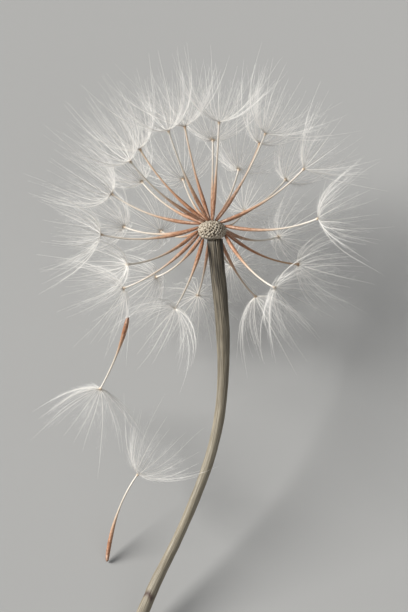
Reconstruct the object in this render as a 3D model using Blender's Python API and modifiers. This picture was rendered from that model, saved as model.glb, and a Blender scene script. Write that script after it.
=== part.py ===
"""A ripe dandelion-like seed head, cut with its stem and laid on a flat surface.

The plant is designed upright in its own frame: the origin is the head's centre, +Z runs up
through the head and -Y is its bare side, from which the ripest seeds have already gone. An empty
then lays it down with the bare side up, so that it rests on the parachutes of its hidden side
and on the cut end of the stem, and sets the world's origin under the middle of the whole plant.
"""

from math import asin, cos, hypot, radians, sin, tau

import bpy
from mathutils import Matrix, Vector
from mathutils.geometry import interpolate_bezier

MM = 0.001

# The head
HEAD_HEIGHT = 26 * MM  # head's centre above the surface, on its slightly crushed lower side
SEED_REACH = 17.8 * MM  # head's centre to the knot at the top of each beak
BEAK_BOW = 1.2 * MM  # how far a level seed's beak bows towards the stem
FOOT_CROWDING = 0.87  # the feet crowd towards the top of the receptacle by this factor
BARE_FOOT_LIMIT = 0.17  # how far round a foot may sit towards the bare side, as a cosine

# (bearing, angle from the top) of each seed in degrees. Bearing -90 is the bare side.
CROWN = ((-76, 15), (143, 18), (-149, 27), (-9, 29), (89, 32), (42, 36))
SHOULDER = ((167, 42), (-158, 52), (72, 54), (-4, 56), (108, 60), (39, 61), (137, 62))
MIDDLE = ((165, 70), (72, 78), (-18, 84), (144, 87), (118, 89), (-175, 92), (52, 92))
SKIRT = (
    (34, 107), (79, 107), (-142, 108), (124, 114), (-50, 121),
    (160, 121), (99, 125), (60, 126), (-117, 134),
)

# One seed: an achene, its long beak, the knot and the parachute
ACHENE_LENGTH = 6.2 * MM
ACHENE_RADIUS = 0.34 * MM
BEAK_RADIUS = 0.14 * MM
KNOT_RADIUS = 0.30 * MM
PARACHUTE_DEPTH = 10 * MM
PARACHUTE_WALL = 0.4 * MM
CROWDED_RIM = 4.8 * MM  # rim radius where parachutes interlock with their neighbours
FREE_RIM = 9 * MM  # rim radius of a parachute that has room to open
SEED_SIDES = 8

# The receptacle: a low cushion, leaning a little towards the bare side
DOME_RADIUS = 2.3 * MM
DOME_RISE = 1.7 * MM
DOME_DROP = 1.2 * MM
DOME_FOOT_RADIUS = 1.45 * MM
DOME_LEAN = radians(12)
GAP = 0.3 * MM  # between pieces that touch

# The stem's course below the head in the upright frame: (x, z, radius) in millimetres
STEM_COURSE = (
    (0.5, -1.8, 1.3), (0.9, -6.2, 1.25), (1.4, -11, 1.2), (1.8, -17.4, 1.1), (1.75, -23.8, 0.92),
    (1.1, -30.2, 0.88), (-0.45, -36.6, 0.85), (-2.8, -43, 0.83), (-5.6, -49.4, 0.82),
    (-8.8, -55.8, 0.94), (-10.9, -60.6, 1), (-13.8, -67, 1),
)

# Two seeds that have come away and are caught on the plant: foot, bend and knot in millimetres
LOOSE_SEEDS = (
    ("loose_seed_1", (-13.3, -5.9, -13.8), (-14.6, -0.1, -19.4), (-18, 3, -25.4), FREE_RIM),
    ("loose_seed_2", (-17, 6.2, -53.4), (-16, 4, -44.6), (-11.85, 2.7, -39), CROWDED_RIM),
)

BARE_SIDE = Vector((0, -1, 0))
TOP = Vector((0, 0, 1))
STEM_END_RADIUS = STEM_COURSE[-1][2] * MM
STEM_DROP = -STEM_COURSE[-1][1] * MM
STEM_SLOPE = asin((HEAD_HEIGHT - STEM_END_RADIUS) / STEM_DROP)
LAYING_DOWN = STEM_SLOPE - radians(90)  # turn about X that brings the upright plant to rest
WORLD_UP = Matrix.Rotation(-LAYING_DOWN, 3, "X") @ Vector((0, 0, 1))  # seen from the plant


def clear_scene():
    for obj in list(bpy.data.objects):
        bpy.data.objects.remove(obj, do_unlink=True)


def collection(name):
    found = bpy.data.collections.new(name)
    bpy.context.scene.collection.children.link(found)
    return found


def material(name, colour, roughness):
    made = bpy.data.materials.new(name)
    made.use_nodes = True
    shader = made.node_tree.nodes["Principled BSDF"]
    shader.inputs["Base Color"].default_value = (*colour, 1)
    shader.inputs["Roughness"].default_value = roughness
    shader.inputs["Metallic"].default_value = 0
    return made


def height(point):
    """How far a point of the upright plant lies above the surface once the plant is laid down."""
    return HEAD_HEIGHT + point.dot(WORLD_UP)


def turned(name, profile, sides, finish, holder, parent):
    """A solid of revolution about Z. The profile runs down its outer side, top to bottom."""
    mesh = bpy.data.meshes.new(name)
    edges = [(i, i + 1) for i in range(len(profile) - 1)]
    mesh.from_pydata([(radius, 0, z) for radius, z in profile], edges, [])
    mesh.materials.append(finish)
    obj = bpy.data.objects.new(name, mesh)
    obj.parent = parent
    holder.objects.link(obj)
    screw = obj.modifiers.new("Turn", "SCREW")
    screw.steps = sides
    screw.render_steps = sides
    screw.use_merge_vertices = True
    screw.merge_threshold = 0.01 * MM
    screw.use_smooth_shade = True
    return obj


def arc(bottom, radius, depth, angles):
    """Points up the side of a bowl: a quarter ellipse from its bottom (0 degrees) to its rim (90)."""
    turns = [radians(angle) for angle in angles]
    return [(radius * sin(turn), bottom + depth * (1 - cos(turn))) for turn in turns]


def seed_profile(knot, depth, rim):
    """The outline of a straightened seed: knot is its length from the achene's foot to the knot."""
    inside = arc(knot + PARACHUTE_WALL, rim - PARACHUTE_WALL, depth - PARACHUTE_WALL, (0, 30, 60, 90))
    outside = arc(knot, rim, depth, (90, 60, 30, 10))
    knot_bulge = [(KNOT_RADIUS, knot - 0.1 * MM), (BEAK_RADIUS, knot - 0.6 * MM)]
    beak_length = knot - ACHENE_LENGTH
    beak = [(BEAK_RADIUS, knot - share * beak_length) for share in (0.25, 0.45, 0.65, 0.85)]
    achene = [
        (share_r * ACHENE_RADIUS, share_z * ACHENE_LENGTH)
        for share_r, share_z in ((0.55, 1), (0.8, 0.8), (1, 0.55), (0.95, 0.3), (0.65, 0.08), (0, 0))
    ]
    return inside + outside + knot_bulge + beak + achene


def guide_curve(name, foot, bend, knot, depth, holder, parent):
    """A guide that bends from the foot to the knot and then runs straight to the parachute's rim.
    It returns the guide and its length up to the knot."""
    heading = (knot - bend).normalized()
    end = knot + heading * (depth + 1 * MM)
    data = bpy.data.curves.new(name, "CURVE")
    data.dimensions = "3D"
    data.twist_mode = "MINIMUM"
    data.resolution_u = 16
    spline = data.splines.new("BEZIER")
    spline.bezier_points.add(2)
    stations = (
        (foot, foot.lerp(bend, -2 / 3), foot.lerp(bend, 2 / 3)),
        (knot, knot.lerp(bend, 2 / 3), knot.lerp(end, 1 / 3)),
        (end, end.lerp(knot, 1 / 3), end.lerp(knot, -1 / 3)),
    )
    for point, (place, handle_in, handle_out) in zip(spline.bezier_points, stations):
        point.handle_left_type = point.handle_right_type = "FREE"
        point.co, point.handle_left, point.handle_right = place, handle_in, handle_out
    guide = bpy.data.objects.new(name, data)
    guide.parent = parent
    guide.hide_render = True
    guide.display_type = "WIRE"
    holder.objects.link(guide)
    course = interpolate_bezier(foot, stations[0][2], stations[1][1], knot, 64)
    return guide, sum((b - a).length for a, b in zip(course, course[1:]))


def parachute_depth(knot, heading, rim):
    """The parachute's depth, less where the surface below stops it."""
    fall = -heading.dot(WORLD_UP)
    if fall <= 0:
        return PARACHUTE_DEPTH
    room = height(knot) - rim * (1 - fall * fall) ** 0.5
    return min(PARACHUTE_DEPTH, room / fall)


def build_seed(name, foot, bend, knot, rim, finish, parts, guides, parent):
    depth = parachute_depth(knot, (knot - bend).normalized(), rim)
    guide, length = guide_curve(name + "_guide", foot, bend, knot, depth, guides, parent)
    seed = turned(name, seed_profile(length, depth, rim), SEED_SIDES, finish, parts, parent)
    bending = seed.modifiers.new("Bend", "CURVE")
    bending.object = guide
    bending.deform_axis = "POS_Z"
    return seed


def direction(bearing, from_top):
    around, down = radians(bearing), radians(from_top)
    return Vector((sin(down) * cos(around), sin(down) * sin(around), cos(down)))


def foot_of(bearing, from_top):
    """Where a seed's foot stands, just off the receptacle and never on its bare side."""
    out = direction(bearing, from_top * FOOT_CROWDING)
    out -= BARE_SIDE * max(0, out.dot(BARE_SIDE) - BARE_FOOT_LIMIT)
    out.normalize()
    axis = Matrix.Rotation(DOME_LEAN, 3, "X") @ TOP
    along = out.dot(axis)
    across = (1 - along * along) ** 0.5
    surface = 1 / hypot(across / DOME_RADIUS, along / DOME_RISE)
    return out * (surface + GAP)


def build_attached_seeds(finish, parts, guides, parent):
    for number, place in enumerate(CROWN + SHOULDER + MIDDLE + SKIRT, start=1):
        foot = foot_of(*place)
        knot = direction(*place) * SEED_REACH
        chord = (knot - foot).normalized()
        to_top = (TOP - chord * chord.dot(TOP)).normalized()
        bow = BEAK_BOW * sin(radians(place[1]))
        bend = (foot + knot) / 2 - to_top * 2 * bow
        build_seed(f"seed_{number:02d}", foot, bend, knot, CROWDED_RIM, finish, parts, guides, parent)


def build_loose_seeds(finish, parts, guides, parent):
    for name, *course, rim in LOOSE_SEEDS:
        foot, bend, knot = (Vector(place) * MM for place in course)
        build_seed(name, foot, bend, knot, rim, finish, parts, guides, parent)


def build_receptacle(finish, parts, parent):
    """A cushion: half an ellipsoid over a rounded underside that narrows to the stem."""
    rings = [(DOME_RADIUS * cos(turn), DOME_RISE * sin(turn)) for turn in map(radians, (90, 65, 42, 20, 0))]
    underside = [(0.93 * DOME_RADIUS, -0.5 * DOME_DROP), (DOME_FOOT_RADIUS, -DOME_DROP), (0, -DOME_DROP)]
    dome = turned("receptacle", rings + underside, 20, finish, parts, parent)
    dome.rotation_euler.x = DOME_LEAN


def build_stem(finish, parts, parent):
    data = bpy.data.curves.new("stem", "CURVE")
    data.dimensions = "3D"
    data.resolution_u = 4
    data.bevel_depth = 1 * MM
    data.bevel_resolution = 3
    data.use_fill_caps = True
    data.materials.append(finish)
    spline = data.splines.new("BEZIER")
    spline.bezier_points.add(len(STEM_COURSE) - 1)
    for point, (x, z, radius) in zip(spline.bezier_points, STEM_COURSE):
        point.co = (x * MM, 0, z * MM)
        point.radius = radius
        point.handle_left_type = point.handle_right_type = "AUTO"
    stem = bpy.data.objects.new("stem", data)
    stem.parent = parent
    parts.objects.link(stem)


def world_corners(objects):
    """The lowest and highest corners of the box around the evaluated objects."""
    graph = bpy.context.evaluated_depsgraph_get()
    low, high = Vector((1, 1, 1)), Vector((-1, -1, -1))
    for obj in objects:
        evaluated = obj.evaluated_get(graph)
        mesh = evaluated.to_mesh()
        for vertex in mesh.vertices:
            place = evaluated.matrix_world @ vertex.co
            low = Vector(map(min, low, place))
            high = Vector(map(max, high, place))
        evaluated.to_mesh_clear()
    return low, high


def rest_on_surface(plant, parts):
    """Sets the plant down so that the world's origin is under the middle of it."""
    plant.rotation_euler.x = LAYING_DOWN
    bpy.context.view_layer.update()
    low, high = world_corners(parts.objects)
    plant.location = (-(low.x + high.x) / 2, -(low.y + high.y) / 2, -low.z)


def main():
    clear_scene()
    parts = collection("dandelion_seed_head")
    guides = collection("guides")
    plant = bpy.data.objects.new("head_centre", None)
    guides.objects.link(plant)
    seed_finish = material("dry_seed", (0.78, 0.66, 0.55), 0.6)
    build_receptacle(material("receptacle_pith", (0.62, 0.56, 0.44), 0.8), parts, plant)
    build_stem(material("dry_stem", (0.30, 0.26, 0.18), 0.65), parts, plant)
    build_attached_seeds(seed_finish, parts, guides, plant)
    build_loose_seeds(seed_finish, parts, guides, plant)
    rest_on_surface(plant, parts)


main()
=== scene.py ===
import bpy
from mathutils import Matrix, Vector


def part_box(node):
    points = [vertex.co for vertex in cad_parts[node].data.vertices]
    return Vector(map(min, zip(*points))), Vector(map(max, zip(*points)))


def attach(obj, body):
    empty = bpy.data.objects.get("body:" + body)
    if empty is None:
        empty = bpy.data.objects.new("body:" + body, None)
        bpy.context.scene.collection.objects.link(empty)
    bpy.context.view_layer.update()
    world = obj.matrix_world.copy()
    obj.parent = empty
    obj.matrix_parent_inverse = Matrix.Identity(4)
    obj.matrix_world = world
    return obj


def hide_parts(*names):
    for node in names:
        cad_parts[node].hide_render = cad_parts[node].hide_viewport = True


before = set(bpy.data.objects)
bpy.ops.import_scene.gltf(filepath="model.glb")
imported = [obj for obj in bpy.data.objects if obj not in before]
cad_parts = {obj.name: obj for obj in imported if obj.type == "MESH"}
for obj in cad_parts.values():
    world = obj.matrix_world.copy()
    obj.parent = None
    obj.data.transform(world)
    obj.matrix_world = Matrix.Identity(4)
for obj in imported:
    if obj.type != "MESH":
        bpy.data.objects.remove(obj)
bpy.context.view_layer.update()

# How a ripe dandelion-like seed head looks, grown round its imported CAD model.
#
# Every piece is made in the plant's own upright frame, in millimetres: the origin is the head's
# centre, +Z runs up through the head, and -Y is its bare side, from which the ripest seeds have
# gone. laid_down() takes it to the row frame, where the plant lies with its bare side up. Beaks and
# stem follow the CAD model's courses, so each piece lies where its CAD node is. A seed's number
# under OWN_BOWLS, TAN_SEEDS and the like is the number in its CAD node's name.

from math import asin, cos, hypot, radians, sin, tau

import bpy
import numpy as np
from mathutils import Matrix, Vector

MM = 0.001

# ---------------------------------------------------------------- the plant's sizes

# The head, as the CAD model has it
HEAD_HEIGHT = 26.0  # above the surface
SEED_REACH = 17.8
BEAK_BOW = 1.2
FOOT_CROWDING = 0.87
BARE_FOOT_LIMIT = 0.17
# (bearing, angle from the top) of each seed in degrees
CROWN = ((-76, 15), (143, 18), (-149, 27), (-9, 29), (89, 32), (42, 36))
SHOULDER = ((167, 42), (-158, 52), (72, 54), (-4, 56), (108, 60), (39, 61), (137, 62))
MIDDLE = ((165, 70), (72, 78), (-18, 84), (144, 87), (118, 89), (-175, 92), (52, 92))
SKIRT = (
    (34, 107), (79, 107), (-142, 108), (124, 114), (-50, 121),
    (160, 121), (99, 125), (60, 126), (-117, 134),
)
PLACES = [(ring, place) for ring in (CROWN, SHOULDER, MIDDLE, SKIRT) for place in ring]
LOOSE_SEEDS = (  # foot, bend and knot
    ("loose_seed_1", (-13.3, -5.9, -13.8), (-14.6, -0.1, -19.4), (-18, 3, -25.4)),
    ("loose_seed_2", (-17, 6.2, -53.4), (-16, 4, -44.6), (-11.85, 2.7, -39)),
)
DOME_RADIUS, DOME_RISE, DOME_DROP, DOME_FOOT_RADIUS = 2.3, 1.7, 1.2, 1.45
DOME_LEAN = radians(12)
STEM_COURSE = np.array((  # x, z and radius
    (0.5, -1.8, 1.3), (0.9, -6.2, 1.25), (1.4, -11, 1.2), (1.8, -17.4, 1.1), (1.75, -23.8, 0.92),
    (1.1, -30.2, 0.88), (-0.45, -36.6, 0.85), (-2.8, -43, 0.83), (-5.6, -49.4, 0.82),
    (-8.8, -55.8, 0.94), (-10.9, -60.6, 1), (-13.8, -67, 1),
))
GAP = 0.3  # that the CAD model leaves between pieces that touch
FOOT_REACH = GAP + 0.15  # from an attached seed's CAD foot into the receptacle

# The receptacle's surface
DOME_SIDES = 160
DOME_RINGS_ABOVE, DOME_RINGS_BELOW = 60, 30
PITS = 170
PITS_DOWN_TO = 1.45  # below the top, as a share of the dome's rise
GOLDEN_SHARE = 0.6180339887
PIT_SIZES = (0.17, 0.25)
PIT_DEPTH = 0.26
RIDGE_HEIGHT, RIDGE_WIDTH = 0.04, 0.09  # between neighbouring pits
CRUMB_HEIGHT = 0.055

# The stem's surface
STEM_STATIONS, STEM_SIDES = 250, 120
STEM_RIBS = ((23, 0.5, 0.4), (9, 0.3, 1.9), (31, 0.35, 0.8))  # count round it, share and shift
STEM_TWIST = 0.012
STEM_TOP_REACH = 0.5  # up into the receptacle
SCAR_HEIGHT = 58.3  # below the head's centre
SCAR_SIDE = radians(115)
SCAR_DEPTH = 0.07
CUT_RINGS = np.array((0.97, 0.86, 0.74, 0.62, 0.5, 0.36, 0.2, 0.04))  # shares of the radius
CUT_STEP = 0.004  # between the cut's rings, along the stem
CUT_DISH = 0.45  # how deep the cut end's soft middle has sunk

# A seed's body
ACHENE_LENGTH = 6.2
ACHENE_RADIUS = 0.35
BEAK_RADIUS = 0.145
KNOT_RADIUS = 0.25
KNOT_INSET, KNOT_WIDTH = 0.12, 0.26
BODY_PROFILE = (  # places as shares of the achene's length, and radii as shares of its radius
    (0, 0.02, 0.07, 0.18, 0.35, 0.55, 0.75, 0.95, 1.15, 1.35, 1.6),
    (0.2, 0.5, 0.68, 0.86, 0.96, 1.0, 0.93, 0.78, 0.62, 0.5, BEAK_RADIUS / ACHENE_RADIUS),
)
BODY_RIDGES, BODY_RIDGE_DEPTH = 10, 0.085
WRINKLE_DEPTH = 0.11
WRINKLE_RATES = (15.5, 5.3)  # of two crossing waves, in radians for each millimetre
BODY_SIDES = 20
ACHENE_STATIONS, BEAK_STATIONS = 150, 50
BODY_STATIONS = ACHENE_STATIONS + BEAK_STATIONS
FOOT_THINNING = (0.1, 0.24)  # of the attached seeds' achenes
TAN_SEEDS = {2: 0.6, 3: 0.0, 6: 0.9, 7: 0.7, 21: 1.0, 28: 0.5}  # how far a seed has browned
TAN_ACHENES = {25: 0.5, 29: 0.6}  # the same for the achene alone
LOOSE_TAN_ACHENES = (0.7, 0.3)
SLIGHT_TAN = 0.05  # the step between the other seeds, which differ a little

# A parachute
RIBS = 22
RIB_LENGTH = 12.2
RIB_RADIUS = 0.043
RIB_LENGTHS = (0.9, 1.06)  # as shares of the length above
LONG_EVERY = 4  # every fourth rib reaches past the others, with a bare tip
LONG_RIB_LENGTHS = (1.18, 1.34)
RIB_STATIONS = 16
RIB_SHARE = np.linspace(0, 1, RIB_STATIONS)[None]
RIB_ROOT = 0.13  # from the parachute's axis
FINE_RIBS = 14
FINE_RIB_LENGTHS = (0.5, 0.9)
FINE_RIB_RADIUS = 0.016
SIDE_HAIRS = 60  # on each side of a rib
SIDE_HAIR_RADIUS = 0.0031
SIDE_HAIR_LENGTHS = (1.0, 2.7)
SIDE_HAIR_SPLAY = (24, 62)  # from the rib, in degrees
WEB_SHARE = 0.72  # how far up a rib its side hairs go
STEM_CLEARANCE = 0.12  # between the stem and the bristles that pass it
PASSES_BEHIND_FROM = 1.3  # the y from which a bristle goes behind the stem
STEM_SHOWS_BELOW = -4  # the z under which bristles meet the stem
# A parachute's shape: its size as a share, its ribs' angle in degrees from its axis at the knot and
# at the tip, how soon they curl, and how many degrees further it opens towards +X and towards +Z
RING_BOWLS = {
    CROWN: (0.98, 80, 34, 2.2, 0, 0), SHOULDER: (0.96, 80, 26, 2.3, 0, 0),
    MIDDLE: (0.95, 80, 26, 2.3, 0, 0), SKIRT: (0.9, 80, 24, 2.2, 0, 0),
}
OWN_BOWLS = {
    1: (0.95, 80, 30, 2.2, 8, 0), 2: (1.0, 72, 37, 2.2, 0, 0), 3: (1.0, 84, 20, 2.0, -4, 0),
    4: (1.0, 80, 34, 2.2, 22, -6), 6: (0.96, 82, 14, 2.2, 0, 0), 7: (1.06, 82, 15, 2.4, 0, 0),
    8: (1.04, 82, 15, 2.4, 0, -2), 10: (0.94, 70, 34, 2.4, 4, -14), 12: (0.88, 82, 14, 2.2, 0, 0),
    13: (0.92, 82, 16, 2.4, 0, 0), 14: (1.06, 86, 14, 2.4, 0, -14), 16: (0.93, 82, 30, 2.4, 0, -20),
    17: (0.95, 84, 20, 2.3, 0, 0), 19: (1.0, 84, 27, 2.4, 0, -20), 23: (0.92, 86, 18, 2.3, 0, 0),
    25: (0.95, 84, 42, 1.7, 4, -4), 26: (0.95, 82, 42, 2.2, 0, -14), 28: (0.92, 74, 16, 2.0, 0, 0),
    29: (0.84, 87, 20, 1.4, 0, 0),
}
LOOSE_BOWLS = ((0.93, 78, 37, 2.2, 14, -4), (0.96, 78, 34, 2.2, 6, -5))
LEANING_BOWLS = {  # how a parachute leans on its beak: flatter to the picture, and down
    23: (0.45, 0), 24: (0.3, 0.1), 25: (0.6, 0), 28: (0.7, 0.5), 29: (0.65, 0),
}

# Where the random draws start. An attached seed's start at its number
RECEPTACLE_DRAWS = 7
LOOSE_SEED_DRAWS = 100

# Bristles below the first height are pressed towards the second, just above the surface
PRESSED_BELOW = 1.3 * MM
PRESSED_REST = 0.07 * MM

# ---------------------------------------------------------------- the studio's values

FLOOR_TONE = (0.28, 0.28, 0.275)
FLOOR_HALF = 3.0
SKY_COLOUR = (0.95, 0.97, 1.0)
SKY_STRENGTH = 0.32
LIGHTS = (  # name, place that it shines from, softness in degrees, strength and colour
    ("key", (-0.80, 0.22, 0.56), 28, 6.6, (1.0, 0.985, 0.96)),
    ("fill", (0.45, -0.45, 0.7), 50, 0.5, (1, 1, 1)),
)
LENS, SENSOR = 180.0, 36.0
FIELD = 97.9  # millimetres from the picture's top to its bottom, at the head's centre
AIM_RIGHT, AIM_UP = -1.28, -12.0  # of the head's centre, in millimetres

# ---------------------------------------------------------------- where the plant lies

TOP = Vector((0, 0, 1))
BARE_SIDE = Vector((0, -1, 0))
STEM_SLOPE = asin((HEAD_HEIGHT - STEM_COURSE[-1, 2]) / -STEM_COURSE[-1, 1])
LAYING_DOWN = STEM_SLOPE - radians(90)
TURN = np.array(Matrix.Rotation(LAYING_DOWN, 3, "X"))


def head_centre():
    """The head's centre in the row frame, in metres, from the place of the receptacle's node,
    whose solid is these seven rings of 20 points."""
    sides = 20
    turns = np.radians((90, 65, 42, 20, 0))
    radii = np.append(DOME_RADIUS * np.cos(turns), (0.93 * DOME_RADIUS, DOME_FOOT_RADIUS))
    heights = np.append(DOME_RISE * np.sin(turns), (-0.5 * DOME_DROP, -DOME_DROP))
    lean = np.array(Matrix.Rotation(LAYING_DOWN + DOME_LEAN, 3, "X"))
    around = np.arange(sides) * tau / sides
    rings = np.stack([
        np.outer(radii, np.cos(around)), np.outer(radii, np.sin(around)),
        np.repeat(heights[:, None], sides, axis=1),
    ], axis=-1).reshape(-1, 3) @ lean.T
    middle = (rings.min(0) + rings.max(0)) / 2 * MM
    low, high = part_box("receptacle")
    return (np.array(low) + np.array(high)) / 2 - middle


CENTRE = head_centre()


def laid_down(points):
    """Points of the upright plant, in millimetres, as they lie in the row frame, in metres."""
    return points @ TURN.T * MM + CENTRE


def pressed_down(points):
    """The same for bristles: what would pass through the surface is pressed flat on it."""
    placed = laid_down(points)
    room = PRESSED_BELOW - PRESSED_REST
    pressed = PRESSED_REST + room * np.exp(np.minimum(placed[..., 2] - PRESSED_BELOW, 0) / room)
    placed[..., 2] = np.where(placed[..., 2] < PRESSED_BELOW, pressed, placed[..., 2])
    return placed


# ---------------------------------------------------------------- meshes


def unit(vectors):
    return vectors / np.linalg.norm(vectors, axis=-1, keepdims=True)


def tubes(paths, radii, across, sides):
    """Closed tubes. paths is (tube, station, 3), radii is (tube, station) or (tube, station, side)
    and across is (tube, 3), a direction that is never along the tube. Returns the vertices,
    the four-sided faces and the end caps."""
    count, stations = paths.shape[:2]
    if radii.ndim == 2:
        radii = radii[:, :, None]
    tangent = unit(np.gradient(paths, axis=1))
    first = unit(np.cross(tangent, across[:, None, :]))[:, :, None, :]
    second = np.cross(tangent[:, :, None, :], first)
    turn = np.arange(sides)[:, None] * tau / sides
    vertices = paths[:, :, None, :] + radii[..., None] * (np.cos(turn) * first + np.sin(turn) * second)
    index = np.arange(count * stations * sides).reshape(count, stations, sides)
    beside = np.roll(index, -1, axis=2)
    walls = np.stack([index[:, :-1], beside[:, :-1], beside[:, 1:], index[:, 1:]], axis=-1)
    caps = np.concatenate([index[:, 0, ::-1], index[:, -1]])
    return vertices.reshape(-1, 3), walls.reshape(-1, 4), caps


class Growth:
    """Gathers the parts of one mesh, with the values that its materials read."""

    def __init__(self):
        self.vertices, self.faces, self.finish, self.values, self.grain = [], [], [], [], []
        self.total = 0

    def add(self, vertices, face_sets, finish, along, grain):
        """along is one value for each vertex, and grain is a place in the material's pattern."""
        for faces in face_sets:
            self.faces.append(faces + self.total)
            self.finish.append(np.full(len(faces), finish))
        self.vertices.append(vertices)
        self.values.append(along)
        self.grain.append(grain)
        self.total += len(vertices)

    def made(self, name, materials, stain_and_shade=None):
        """The object. Its last, optional argument is one value for each vertex: how far the material
        has browned, and on the stem's cut end how dark the painted shade in its dish is.
        """
        mesh = bpy.data.meshes.new(name)
        vertices = np.concatenate(self.vertices)
        mesh.vertices.add(len(vertices))
        mesh.vertices.foreach_set("co", vertices.ravel())
        corners = np.concatenate([faces.ravel() for faces in self.faces])
        sizes = np.concatenate([np.full(len(faces), faces.shape[1]) for faces in self.faces])
        mesh.loops.add(len(corners))
        mesh.loops.foreach_set("vertex_index", corners)
        mesh.polygons.add(len(sizes))
        mesh.polygons.foreach_set("loop_start", np.concatenate([[0], np.cumsum(sizes)[:-1]]))
        mesh.polygons.foreach_set("loop_total", sizes)
        mesh.polygons.foreach_set("material_index", np.concatenate(self.finish))
        mesh.polygons.foreach_set("use_smooth", np.ones(len(sizes), bool))
        for finish in materials:
            mesh.materials.append(finish)
        along = mesh.attributes.new("along", "FLOAT", "POINT")
        along.data.foreach_set("value", np.concatenate(self.values))
        grain = mesh.attributes.new("grain", "FLOAT_VECTOR", "POINT")
        grain.data.foreach_set("vector", np.concatenate(self.grain).ravel())
        if stain_and_shade is not None:
            mesh.attributes.new("stain_and_shade", "FLOAT", "POINT").data.foreach_set("value", stain_and_shade)
        mesh.update(calc_edges=True)
        mesh.validate()
        obj = bpy.data.objects.new(name, mesh)
        bpy.context.scene.collection.objects.link(obj)
        return obj


# ---------------------------------------------------------------- a seed's course and body


def direction(bearing, from_top):
    """The way out from the head's centre, from a bearing round it and an angle from its top."""
    around, down = radians(bearing), radians(from_top)
    return Vector((sin(down) * cos(around), sin(down) * sin(around), cos(down)))


def foot_of(bearing, from_top):
    """Where a seed's foot stands on the receptacle."""
    out = direction(bearing, from_top * FOOT_CROWDING)
    out -= BARE_SIDE * max(0, out.dot(BARE_SIDE) - BARE_FOOT_LIMIT)
    out.normalize()
    axis = Matrix.Rotation(DOME_LEAN, 3, "X") @ TOP
    along = out.dot(axis)
    across = (1 - along * along) ** 0.5
    return out * (1 / hypot(across / DOME_RADIUS, along / DOME_RISE) + GAP)


def attached_course(bearing, from_top):
    """An attached seed's foot, the point that its curve bends towards, and its knot."""
    foot = foot_of(bearing, from_top)
    knot = direction(bearing, from_top) * SEED_REACH
    chord = (knot - foot).normalized()
    to_top = (TOP - chord * chord.dot(TOP)).normalized()
    bend = (foot + knot) / 2 - to_top * 2 * BEAK_BOW * sin(radians(from_top))
    return foot, bend, knot


def body_path(foot, bend, knot):
    """Stations from foot to knot, close together along the achene, and the length up to each."""
    share = np.linspace(0, 1, 400)[:, None]
    fine = (1 - share) ** 2 * foot + 2 * share * (1 - share) * bend + share**2 * knot
    length = np.concatenate([[0], np.cumsum(np.linalg.norm(np.diff(fine, axis=0), axis=1))])
    neck = 1.35 * ACHENE_LENGTH
    at = np.concatenate([
        np.linspace(0, neck, ACHENE_STATIONS, endpoint=False),
        np.linspace(neck, length[-1], BEAK_STATIONS),
    ])
    return np.stack([np.interp(at, length, fine[:, axis]) for axis in range(3)], axis=1), at


def grow_body(growth, rng, foot, bend, knot, reach_down, thin):
    """The achene with its ridges and wrinkles, the beak and the knot, as one closed tube."""
    heading = unit(foot - bend)
    path, at = body_path(foot + heading * reach_down, bend, knot)
    whole = at[-1]
    achene = np.clip(at / ACHENE_LENGTH, 0, BODY_PROFILE[0][-1])
    radius = np.interp(achene, *BODY_PROFILE) * ACHENE_RADIUS
    radius *= 1 - thin * np.clip(1.5 - achene, 0, 1)
    knot_swelling = np.exp(-((whole - at - KNOT_INSET) / KNOT_WIDTH) ** 2)
    radius += (KNOT_RADIUS - BEAK_RADIUS) * knot_swelling
    radius[-1] *= 0.7
    turn = np.arange(BODY_SIDES) * tau / BODY_SIDES
    ridged = np.clip(1.25 - achene, 0, 1)[:, None]
    ridges = 1 + ridged * BODY_RIDGE_DEPTH * np.cos(
        BODY_RIDGES * turn + 0.5 * np.sin(at * 0.9)[:, None]
    )
    fast, slow = (at[:, None] * rate for rate in WRINKLE_RATES)
    wrinkles = 1 + ridged * WRINKLE_DEPTH * np.sin(
        fast + 1.7 * np.sin(turn * 2 + rng.uniform(0, tau)) + rng.uniform(0, tau)
    ) * np.sin(slow + 2.1 * np.sin(turn * 3 + rng.uniform(0, tau)))
    swelling = 1 + 0.05 * np.sin(at * rng.uniform(0.7, 1.1) + rng.uniform(0, tau))[:, None]
    radii = radius[:, None] * ridges * wrinkles * swelling
    across = np.cross(unit(knot - foot), rng.normal(size=3))[None]
    vertices, walls, caps = tubes(path[None], radii[None], across, BODY_SIDES)
    along = np.repeat(at / whole, BODY_SIDES)
    grain = np.stack([
        np.tile(np.cos(turn), BODY_STATIONS), np.tile(np.sin(turn), BODY_STATIONS),
        np.repeat(at, BODY_SIDES),
    ], axis=1)
    growth.add(laid_down(vertices), (walls, caps), 0, along, grain)


# ---------------------------------------------------------------- a parachute


def round_axis(phase, axes):
    """The ways out from a parachute's axis at each phase, and the ways square to them round it."""
    u, v, _ = axes
    cosine, sine = np.cos(phase)[..., None], np.sin(phase)[..., None]
    return cosine * u + sine * v, -sine * u + cosine * v


def bowl_ribs(rng, length, leave, end, curl, phase, knot, axes):
    """Ribs as (rib, station) points, leaving the knot at one angle and ending at another."""
    count = len(length)
    lean = leave[:, None] + (end - leave)[:, None] * (1 - (1 - RIB_SHARE) ** curl)
    wave = rng.uniform(0.02, 0.09, (count, 1)) * np.sin(
        tau * (RIB_SHARE * rng.uniform(0.6, 1.5, (count, 1)) + rng.uniform(0, 1, (count, 1)))
    ) * RIB_SHARE
    lean = lean + wave
    step = length[:, None] / (RIB_STATIONS - 1)
    out = np.cumsum(np.sin(lean) * step, axis=1) - np.sin(lean[:, :1]) * step + RIB_ROOT
    up = np.cumsum(np.cos(lean) * step, axis=1) - np.cos(lean[:, :1]) * step
    drift = rng.normal(0, 0.05, (count, 1)) * RIB_SHARE + rng.normal(0, 0.02, (count, 1)) * np.sin(
        tau * (RIB_SHARE + rng.uniform(0, 1, (count, 1)))
    ) * RIB_SHARE
    outward, _ = round_axis(phase[:, None] + drift, axes)
    return round_the_stem(knot + out[..., None] * outward + up[..., None] * axes[2])


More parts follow.
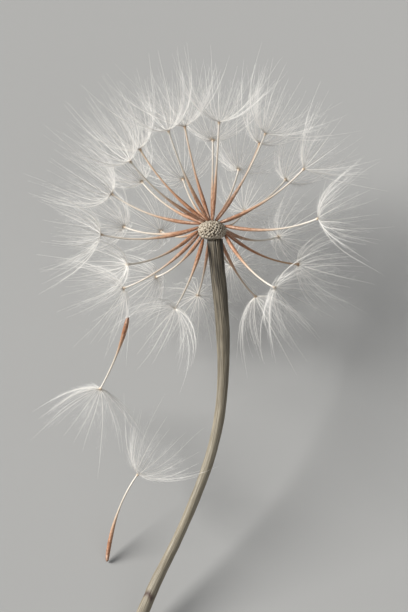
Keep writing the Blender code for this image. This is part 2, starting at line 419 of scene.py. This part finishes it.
def round_the_stem(points):
    """Bristles pass in front of the stem or behind it, never through it."""
    z = points[..., 2]
    order = STEM_COURSE[::-1]
    centre_x = np.interp(z, order[:, 1], order[:, 0])
    radius = np.interp(z, order[:, 1], order[:, 2]) + STEM_CLEARANCE
    aside = np.abs(points[..., 0] - centre_x) / radius
    width = 1.6  # the square of the number of radii aside at which a bristle starts to give way
    need = radius * np.sqrt(np.clip(width - aside**2, 0, None) / width) * 1.15
    side = np.where(points[..., 1] < PASSES_BEHIND_FROM, -1, 1)
    short = np.clip(need - side * points[..., 1], 0, None)
    points = points.copy()
    points[..., 1] += np.where(z < STEM_SHOWS_BELOW, side * short, 0)
    return points


def strand(growth, rng, paths, radii, across, sides, finish, share):
    """Adds bristles of one kind, each with its own tone. finish is the number of their material, and
    share says how far along its rib each station is."""
    vertices, walls, caps = tubes(paths, radii, across, sides)
    count, stations = radii.shape
    along = np.repeat(np.broadcast_to(share, (count, stations)), sides, axis=1).ravel()
    tone = np.repeat(rng.uniform(0, 1, count), stations * sides)
    grain = np.stack([tone, np.zeros_like(tone), along], axis=1)
    growth.add(pressed_down(vertices), (walls, caps), finish, along, grain)


def grow_ribs(growth, rng, knot, axes, bowl):
    """The strong ribs. Returns them, and the way along the bowl beside each."""
    spread, at_knot, at_tip, curl, towards_x, towards_z = bowl
    phase = (np.arange(RIBS) + rng.uniform(-0.3, 0.3, RIBS)) * tau / RIBS + rng.uniform(0, tau)
    length = RIB_LENGTH * spread * rng.uniform(*RIB_LENGTHS, RIBS)
    long_ones = length[::LONG_EVERY]
    long_ones *= rng.uniform(*LONG_RIB_LENGTHS, len(long_ones))
    outward, sideways = round_axis(phase, axes)
    lopsided = 5 * np.cos(phase - rng.uniform(0, tau)) + outward @ (towards_x, 0, towards_z)
    leave = np.radians(rng.normal(at_knot, 3, RIBS) + 0.3 * lopsided)
    end = np.radians(rng.normal(at_tip, 5, RIBS) + lopsided)
    ribs = bowl_ribs(rng, length, leave, end, curl, phase, knot, axes)
    radii = RIB_RADIUS * (0.1 + 0.9 * (1 - RIB_SHARE) ** 1.15) * rng.uniform(0.8, 1.15, (RIBS, 1))
    strand(growth, rng, ribs, radii, sideways, 4, 1, RIB_SHARE)
    return ribs, sideways


def grow_fine_ribs(growth, rng, knot, axes, bowl):
    """Shorter, thinner ribs at no set places between the strong ones."""
    spread, at_knot, at_tip, curl = bowl[:4]
    phase = rng.uniform(0, tau, FINE_RIBS)
    length = RIB_LENGTH * spread * rng.uniform(*FINE_RIB_LENGTHS, FINE_RIBS)
    leave = np.radians(rng.normal(at_knot - 6, 6, FINE_RIBS))
    end = np.radians(rng.normal(at_tip, 9, FINE_RIBS))
    ribs = bowl_ribs(rng, length, leave, end, curl, phase, knot, axes)
    radii = FINE_RIB_RADIUS * (1 - 0.7 * RIB_SHARE) * np.ones((FINE_RIBS, 1))
    strand(growth, rng, ribs, radii, round_axis(phase, axes)[1], 3, 1, RIB_SHARE)


def sample(paths, share):
    """Points of each path at the given shares (path, n) of its stations, with the way it runs."""
    at = share * (paths.shape[1] - 1)
    low = np.clip(at.astype(int), 0, paths.shape[1] - 2)
    row = np.arange(len(paths))[:, None]
    here, there = paths[row, low], paths[row, low + 1]
    return here + (there - here) * (at - low)[..., None], unit(there - here)


def grow_side_hairs(growth, rng, ribs, sideways):
    """The hairs that knit the ribs into a web, each in two straight stretches."""
    hairs = SIDE_HAIRS * 2
    share = WEB_SHARE * rng.beta(1.15, 1.25, (RIBS, hairs)) + 0.015
    root, run = sample(ribs, share)
    hand = np.where(np.arange(hairs) % 2, 1, -1)[None, :, None]
    sideways = sideways[:, None, :]
    aside = unit(sideways - run * (sideways * run).sum(-1, keepdims=True))
    outward = np.cross(aside, run)
    splay = np.radians(rng.uniform(*SIDE_HAIR_SPLAY, (RIBS, hairs)))[..., None]
    reach = rng.uniform(*SIDE_HAIR_LENGTHS, (RIBS, hairs)) * (1.1 - 0.5 * share / WEB_SHARE)
    half_reach = reach[..., None] * 0.5

    def splayed(angle, scatter):
        lift = outward * rng.normal(0, scatter, (RIBS, hairs, 1))
        return unit(run * np.cos(angle) + aside * hand * np.sin(angle) + lift)

    middle = root + splayed(splay, 0.05) * half_reach
    tip = middle + splayed(splay * 0.55, 0.14) * half_reach
    paths = round_the_stem(np.stack([root, middle, tip], axis=2).reshape(-1, 3, 3))
    thickness = rng.uniform(0.75, 1.2, (len(paths), 1))
    radii = SIDE_HAIR_RADIUS * np.array((1, 0.8, 0.4))[None] * thickness
    along = (share[..., None] + np.array((0, 0.05, 0.1))).reshape(-1, 3)
    strand(growth, rng, paths, radii, outward.reshape(-1, 3), 3, 2, along)


def grow_parachute(growth, rng, knot, heading, bowl):
    """Strong ribs, finer ones between them, and the side hairs."""
    w = unit(heading)
    u = unit(np.cross(w, (0.3, 0.5, 0.8)))
    axes = (u, np.cross(w, u), w)
    ribs, sideways = grow_ribs(growth, rng, knot, axes, bowl)
    grow_fine_ribs(growth, rng, knot, axes, bowl)
    grow_side_hairs(growth, rng, ribs, sideways)


# ---------------------------------------------------------------- receptacle and stem


def dome_surface():
    """The receptacle's smooth surface, as (ring, side) points round its own axis."""
    turn = np.radians(np.concatenate([
        np.linspace(90, 0, DOME_RINGS_ABOVE), np.linspace(-8, -90, DOME_RINGS_BELOW),
    ]))
    above = turn >= 0
    radius = DOME_RADIUS * np.where(above, np.cos(turn), np.cos(turn) ** 0.55)
    height = np.where(above, DOME_RISE, DOME_DROP) * np.sin(turn)
    radius[0] = radius[-1] = 0.02
    around = np.arange(DOME_SIDES) * tau / DOME_SIDES
    return np.stack([
        np.outer(radius, np.cos(around)), np.outer(radius, np.sin(around)),
        np.repeat(height[:, None], DOME_SIDES, axis=1),
    ], axis=-1)


def pit_places(rng):
    """Points spread evenly over the dome and a little way under it, on a golden spiral."""
    number = np.arange(PITS) + 0.5
    cosine = 1 - PITS_DOWN_TO * number / PITS
    spin = number * tau * GOLDEN_SHARE
    ring = np.sqrt(np.clip(1 - cosine**2, 0, None))
    return np.stack([
        DOME_RADIUS * ring * np.cos(spin), DOME_RADIUS * ring * np.sin(spin),
        np.where(cosine > 0, DOME_RISE, DOME_DROP) * cosine,
    ], axis=1) + rng.normal(0, 0.06, (PITS, 3))


def grow_receptacle(growth, rng):
    """A cushion with a pit for each seed that has gone, and crumbly ridges between the pits."""
    points = dome_surface()
    outward = unit(points / np.array((DOME_RADIUS**2, DOME_RADIUS**2, DOME_RISE**2)))
    pits = pit_places(rng)
    flat = points.reshape(-1, 3)
    distance = np.sqrt(((flat[:, None] - pits[None]) ** 2).sum(-1))
    size = rng.uniform(*PIT_SIZES, PITS)
    pit = (np.clip(1 - distance / size, 0, 1) ** 0.5 * rng.uniform(0.75, 1, PITS)).max(1)
    nearest = np.sort(distance, axis=1)[:, :2]
    ridge = np.exp(-((nearest[:, 1] - nearest[:, 0]) / RIDGE_WIDTH) ** 2)
    crumb = sum(
        np.sin(flat @ rng.normal(0, 7 + 4 * k, 3) + rng.uniform(0, tau)) for k in range(9)
    ) / 5
    raised = RIDGE_HEIGHT * ridge + CRUMB_HEIGHT * crumb - PIT_DEPTH * pit
    moved = flat + outward.reshape(-1, 3) * raised[:, None]
    lean = np.array(Matrix.Rotation(DOME_LEAN, 3, "X"))
    index = np.arange(len(flat)).reshape(points.shape[:2])
    beside = np.roll(index, -1, axis=1)
    walls = np.stack([index[1:], beside[1:], beside[:-1], index[:-1]], axis=-1).reshape(-1, 4)
    caps = np.stack([index[0], index[-1, ::-1]])
    # The pits' depth also goes to the material, which paints shade in them.
    growth.add(laid_down(moved @ lean.T), (walls, caps), 0, np.clip(pit, 0, 1), flat)


def stem_line():
    """Evenly spaced stations on a smooth curve through the stem's course, each with its radius,
    and the length up to each."""
    course = np.column_stack([STEM_COURSE[:, 0], np.zeros(len(STEM_COURSE)), STEM_COURSE[:, 1:]])
    padded = np.vstack([2 * course[0] - course[1], course, 2 * course[-1] - course[-2]])
    fine = []
    for before, here, there, after in zip(padded, padded[1:], padded[2:], padded[3:]):
        t = np.linspace(0, 1, 40, endpoint=False)[:, None]
        fine.append(0.5 * (
            2 * here + (there - before) * t + (2 * before - 5 * here + 4 * there - after) * t**2
            + (3 * here - before - 3 * there + after) * t**3
        ))
    fine = np.vstack([*fine, course[-1:]])
    length = np.concatenate([[0], np.cumsum(np.linalg.norm(np.diff(fine[:, :3], axis=0), axis=1))])
    at = np.linspace(0, length[-1], STEM_STATIONS)
    return np.stack([np.interp(at, length, fine[:, axis]) for axis in range(4)], axis=1), at


def grow_stem(growth):
    """A ribbed stalk, its ribs deepest under the head, with a scar on its side and a dished cut at
    its lower end. Returns how far each vertex is stained at the scar, and how dark the painted
    shade in the cut's dish is."""
    line, at = stem_line()
    line[0, 2] += STEM_TOP_REACH
    cuts = len(CUT_RINGS)
    sunk = CUT_DISH * (1 - np.clip(CUT_RINGS / 0.7, 0, 1) ** 4)
    forward = unit(line[-1, :3] - line[-2, :3])
    step = CUT_STEP * np.arange(1, cuts + 1)
    cut_centres = line[-1, :3] + step[:, None] * forward
    line = np.vstack([line, np.column_stack([cut_centres, line[-1, 3] * CUT_RINGS])])
    at = np.append(at, at[-1] + step)
    turn = np.arange(STEM_SIDES) * tau / STEM_SIDES
    twisted = turn + STEM_TWIST * at[:, None]
    ribs = sum(share * np.cos(count * twisted + shift) for count, share, shift in STEM_RIBS)
    depth = 0.018 + 0.06 * np.exp(-at / 6)
    swell = 1 + 0.012 * np.sin(at * 0.9 + 1) + 0.01 * np.sin(at * 2.3)
    past_scar = (at - np.interp(SCAR_HEIGHT, -line[:, 2], at))[:, None]
    scar_side = np.clip(1.6 * np.cos(turn - SCAR_SIDE), 0, 1)
    scar = SCAR_DEPTH * np.exp(-((past_scar / 0.3) ** 2)) * scar_side
    stain_and_shade = np.exp(-(((past_scar + 0.25 * np.cos(3 * turn)) / 0.5) ** 2)) * scar_side
    # Painted shade: the cut end's rings darken the deeper its dish has sunk there.
    stain_and_shade[-cuts:] = np.clip(2.2 * sunk, 0, 0.85)[:, None]
    radii = line[:, 3:4] * (1 + depth[:, None] * (ribs - 1)) * (swell[:, None] - 0.02) - scar
    across = np.array([(0.0, 1.0, 0.0)])
    vertices, walls, caps = tubes(line[None, :, :3], radii[None], across, STEM_SIDES)
    vertices[-cuts * STEM_SIDES:] -= np.repeat(sunk, STEM_SIDES)[:, None] * forward
    grain = np.stack([
        np.cos(twisted).ravel(), np.sin(twisted).ravel(), np.repeat(at, STEM_SIDES),
    ], axis=1)
    along = np.repeat(at / at[-1], STEM_SIDES)
    growth.add(laid_down(vertices), (walls, caps), 0, along, grain)
    return stain_and_shade.ravel()


# ---------------------------------------------------------------- materials


class Finish:
    """A material with a Principled shader, and short ways to make the nodes that drive it."""

    def __init__(self, name, roughness):
        self.material = bpy.data.materials.new(name)
        self.material.use_nodes = True
        self.tree = self.material.node_tree
        self.shader = self.tree.nodes["Principled BSDF"]
        self.shader.inputs["Roughness"].default_value = roughness

    def link(self, source, target):
        self.tree.links.new(source, target)

    def attribute(self, name, output="Fac"):
        node = self.tree.nodes.new("ShaderNodeAttribute")
        node.attribute_name = name
        return node.outputs[output]

    def ramp(self, source, *stops):
        node = self.tree.nodes.new("ShaderNodeValToRGB")
        elements = node.color_ramp.elements
        while len(elements) < len(stops):
            elements.new(1)
        for element, (place, colour) in zip(elements, stops):
            element.position = place
            element.color = (*colour, 1)
        self.link(source, node.inputs["Fac"])
        return node.outputs["Color"]

    def scaled(self, vector, factors):
        node = self.tree.nodes.new("ShaderNodeVectorMath")
        node.operation = "MULTIPLY"
        node.inputs[1].default_value = factors
        self.link(vector, node.inputs[0])
        return node.outputs["Vector"]

    def noise(self, vector, scale, detail=4, roughness=0.6):
        node = self.tree.nodes.new("ShaderNodeTexNoise")
        node.inputs["Scale"].default_value = scale
        node.inputs["Detail"].default_value = detail
        node.inputs["Roughness"].default_value = roughness
        self.link(vector, node.inputs["Vector"])
        return node.outputs["Fac"]

    def mix(self, share, first, second):
        """first where share is 0, second where it is 1. Each is a colour or a node's output."""
        node = self.tree.nodes.new("ShaderNodeMix")
        node.data_type = "RGBA"
        self.link(share, node.inputs[0])
        for value, socket in ((first, 6), (second, 7)):
            if isinstance(value, tuple):
                node.inputs[socket].default_value = (*value, 1)
            else:
                self.link(value, node.inputs[socket])
        return node.outputs[2]

    def between(self, source, low, high, to_low=0.0, to_high=1.0):
        node = self.tree.nodes.new("ShaderNodeMapRange")
        node.inputs["From Min"].default_value = low
        node.inputs["From Max"].default_value = high
        node.inputs["To Min"].default_value = to_low
        node.inputs["To Max"].default_value = to_high
        self.link(source, node.inputs["Value"])
        return node.outputs["Result"]

    def colour(self, source):
        self.link(source, self.shader.inputs["Base Color"])

    def rough(self, source):
        self.link(source, self.shader.inputs["Roughness"])

    def bump(self, source, strength, distance):
        node = self.tree.nodes.new("ShaderNodeBump")
        node.inputs["Strength"].default_value = strength
        node.inputs["Distance"].default_value = distance
        self.link(source, node.inputs["Height"])
        self.link(node.outputs["Normal"], self.shader.inputs["Normal"])


def seed_skin():
    """Salmon achene, streaked and mottled, paling up the beak to ivory, with a tan knot."""
    finish = Finish("seed_skin", 0.45)
    along = finish.attribute("along")
    pale = finish.ramp(
        along, (0, (0.12, 0.05, 0.025)), (0.03, (0.31, 0.13, 0.062)), (0.25, (0.36, 0.185, 0.102)),
        (0.42, (0.42, 0.28, 0.185)), (0.60, (0.51, 0.455, 0.375)), (0.96, (0.61, 0.585, 0.53)),
        (0.99, (0.53, 0.42, 0.30)),
    )
    tan = finish.ramp(
        along, (0, (0.12, 0.045, 0.018)), (0.03, (0.29, 0.105, 0.04)), (0.4, (0.34, 0.145, 0.06)),
        (0.7, (0.37, 0.21, 0.11)), (0.96, (0.44, 0.30, 0.18)), (0.99, (0.42, 0.27, 0.15)),
    )
    light_streak, dark_spot = (0.66, 0.49, 0.37), (0.15, 0.053, 0.018)
    body = finish.mix(finish.attribute("stain_and_shade"), pale, tan)
    grain = finish.attribute("grain", "Vector")
    streaks = finish.noise(finish.scaled(grain, (1.7, 1.7, 0.5)), 1.0)
    mottle = finish.noise(finish.scaled(grain, (1.1, 1.1, 1.7)), 1.0, 8, 0.8)
    streaked = finish.mix(finish.between(streaks, 0.5, 0.62, 0.0, 0.65), body, light_streak)
    mottled = finish.mix(finish.between(mottle, 0.46, 0.57, 0.0, 0.78), streaked, dark_spot)
    finish.colour(finish.mix(finish.between(along, 0.3, 0.5, 0.0, 0.8), mottled, body))
    finish.rough(finish.between(streaks, 0.3, 0.7, 0.42, 0.62))
    finish.bump(mottle, 0.5, 0.06 * MM)
    return finish.material


def bristle(name, root, pale, dim, roughness):
    """A silky bristle: brownish at the knot, then off-white, no two quite alike."""
    finish = Finish(name, roughness)
    halfway = tuple((a + b) / 2 for a, b in zip(root, pale))
    body = finish.ramp(finish.attribute("along"), (0, root), (0.02, halfway), (0.05, pale))
    tone = finish.noise(finish.scaled(finish.attribute("grain", "Vector"), (19, 1, 3)), 1.0, 2)
    finish.colour(finish.mix(finish.between(tone, 0.35, 0.65, 0.0, 0.8), body, dim))
    return finish.material


def receptacle_pith():
    """Cream and crumbly, with painted shade making the pits dark."""
    finish = Finish("receptacle_pith", 0.85)
    crumbs = finish.noise(finish.attribute("grain", "Vector"), 6.0, 6)
    ridge = finish.ramp(
        crumbs, (0.36, (0.14, 0.105, 0.07)), (0.5, (0.315, 0.27, 0.205)),
        (0.66, (0.54, 0.495, 0.415)),
    )
    # Painted shade: the deeper a pit, the nearer its colour is to black.
    pit = finish.between(finish.attribute("along"), 0.3, 0.65)
    finish.colour(finish.mix(pit, ridge, (0.045, 0.027, 0.012)))
    finish.bump(crumbs, 0.5, 0.1 * MM)
    return finish.material


def dry_stem():
    """Olive-brown and streaked under the head, grey-beige further down, stained dark at the scar,
    with painted shade darkening the cut end's dish.
    """
    finish = Finish("dry_stem", 0.6)
    along = finish.attribute("along")
    grain = finish.attribute("grain", "Vector")
    streaks = finish.noise(finish.scaled(grain, (9, 9, 0.16)), 1.0, 5)
    threads = finish.noise(finish.scaled(grain, (13, 13, 0.3)), 1.0, 4)
    patches = finish.noise(finish.scaled(grain, (1.3, 1.3, 0.25)), 1.0, 3)
    upper = finish.ramp(
        streaks, (0.42, (0.009, 0.007, 0.004)), (0.5, (0.05, 0.04, 0.024)),
        (0.6, (0.17, 0.14, 0.095)),
    )
    lower = finish.ramp(
        streaks, (0.36, (0.09, 0.073, 0.046)), (0.5, (0.195, 0.17, 0.124)),
        (0.64, (0.30, 0.272, 0.215)),
    )
    upper_crack, lower_crack = (0.008, 0.006, 0.004), (0.12, 0.095, 0.055)
    weathered, scar_stain_and_cut_shade = (0.36, 0.30, 0.20), (0.045, 0.022, 0.016)
    body = finish.mix(finish.between(along, 0.03, 0.42), upper, lower)
    cracks = finish.mix(finish.between(along, 0.05, 0.35), upper_crack, lower_crack)
    threaded = finish.mix(finish.between(threads, 0.46, 0.6, 0.0, 0.75), body, cracks)
    patched = finish.mix(finish.between(patches, 0.5, 0.75, 0.0, 0.2), threaded, weathered)
    # The scar's stain, and the painted shade in the cut end's dish, darken the stem here.
    finish.colour(finish.mix(finish.attribute("stain_and_shade"), patched, scar_stain_and_cut_shade))
    finish.rough(finish.between(threads, 0.3, 0.7, 0.5, 0.75))
    finish.bump(threads, 0.4, 0.08 * MM)
    return finish.material


def pale_floor():
    finish = Finish("pale_floor", 0.9)
    finish.shader.inputs["Base Color"].default_value = (*FLOOR_TONE, 1)
    finish.shader.inputs["Specular IOR Level"].default_value = 0.05
    return finish.material


# ---------------------------------------------------------------- the pieces


def place_seed(node, course, reach_down, materials, tan, tan_achene, draws, bowl, leaning=(0, 0)):
    """course is its foot, bend and knot. reach_down takes its foot into the receptacle."""
    rng = np.random.default_rng(draws)
    foot, bend, knot = (np.array(point, float) for point in course)
    growth = Growth()
    thin = rng.uniform(*FOOT_THINNING) if reach_down else 0
    grow_body(growth, rng, foot, bend, knot, reach_down, thin)
    flatter, down = leaning
    heading = unit(knot - bend) * (1, 1 - flatter, 1) - np.array((0, 0, down))
    grow_parachute(growth, rng, knot, heading, bowl)
    along = np.concatenate(growth.values)
    on_achene = np.clip(1.7 - 4 * along, 0, 1)
    piece = growth.made("feathered_" + node, materials, tan + tan_achene * on_achene)
    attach(piece, "root")
    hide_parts(node)


def build_seeds():
    materials = (
        seed_skin(),
        bristle("strong_bristle", (0.72, 0.62, 0.51), (0.86, 0.84, 0.80), (0.76, 0.73, 0.67), 0.4),
        bristle("side_hair", (0.72, 0.68, 0.62), (0.76, 0.75, 0.73), (0.67, 0.66, 0.64), 0.5),
    )
    for number, (ring, place) in enumerate(PLACES, start=1):
        place_seed(
            f"seed_{number:02d}", attached_course(*place), FOOT_REACH, materials,
            TAN_SEEDS.get(number, SLIGHT_TAN * (number % 4)), TAN_ACHENES.get(number, 0.0),
            number, OWN_BOWLS.get(number, RING_BOWLS[ring]), LEANING_BOWLS.get(number, (0, 0)),
        )
    for number, (node, *course) in enumerate(LOOSE_SEEDS):
        place_seed(
            node, course, 0, materials, 0.0, LOOSE_TAN_ACHENES[number],
            LOOSE_SEED_DRAWS + number, LOOSE_BOWLS[number],
        )


def build_receptacle():
    growth = Growth()
    grow_receptacle(growth, np.random.default_rng(RECEPTACLE_DRAWS))
    piece = growth.made("pitted_receptacle", [receptacle_pith()])
    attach(piece, "root")
    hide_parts("receptacle")


def build_stem():
    growth = Growth()
    stain_and_shade = grow_stem(growth)
    piece = growth.made("ribbed_stem", [dry_stem()], stain_and_shade)
    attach(piece, "root")
    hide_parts("stem")


# ---------------------------------------------------------------- the studio


def soft_light(name, place, softness, strength, colour):
    """A broad light from afar, so that it falls evenly on the whole floor."""
    data = bpy.data.lights.new(name, "SUN")
    data.angle = radians(softness)
    data.energy = strength
    data.color = colour
    light = bpy.data.objects.new(name, data)
    light.location = place
    light.rotation_euler = (-Vector(place)).to_track_quat("-Z", "Y").to_euler()
    bpy.context.scene.collection.objects.link(light)


def build_stage():
    mesh = bpy.data.meshes.new("floor")
    half = FLOOR_HALF
    corners = [(-half, -half, 0), (half, -half, 0), (half, half, 0), (-half, half, 0)]
    mesh.from_pydata(corners, [], [(0, 1, 2, 3)])
    mesh.materials.append(pale_floor())
    floor = bpy.data.objects.new("floor", mesh)
    bpy.context.scene.collection.objects.link(floor)
    world = bpy.data.worlds.new("studio")
    world.use_nodes = True
    sky = world.node_tree.nodes["Background"]
    sky.inputs["Color"].default_value = (*SKY_COLOUR, 1)
    sky.inputs["Strength"].default_value = SKY_STRENGTH
    bpy.context.scene.world = world
    bpy.context.scene.view_settings.view_transform = "Standard"
    for light in LIGHTS:
        soft_light(*light)


def build_camera():
    """Square to the plane of the stem, as far off as a long lens needs."""
    right = np.array((1.0, 0, 0))
    back = TURN @ np.array((0, -1.0, 0))
    up = TURN @ np.array((0, 0, 1.0))
    distance = LENS * FIELD / SENSOR
    aim = CENTRE + (AIM_RIGHT * right + AIM_UP * up) * MM
    data = bpy.data.cameras.new("camera")
    data.lens = LENS
    data.sensor_width = SENSOR
    data.clip_start = 0.01
    data.clip_end = 10
    camera = bpy.data.objects.new("camera", data)
    camera.location = aim + back * distance * MM
    camera.rotation_euler = Matrix((right, up, back)).transposed().to_euler()
    bpy.context.scene.collection.objects.link(camera)
    bpy.context.scene.camera = camera


build_receptacle()
build_stem()
build_seeds()
build_stage()
build_camera()
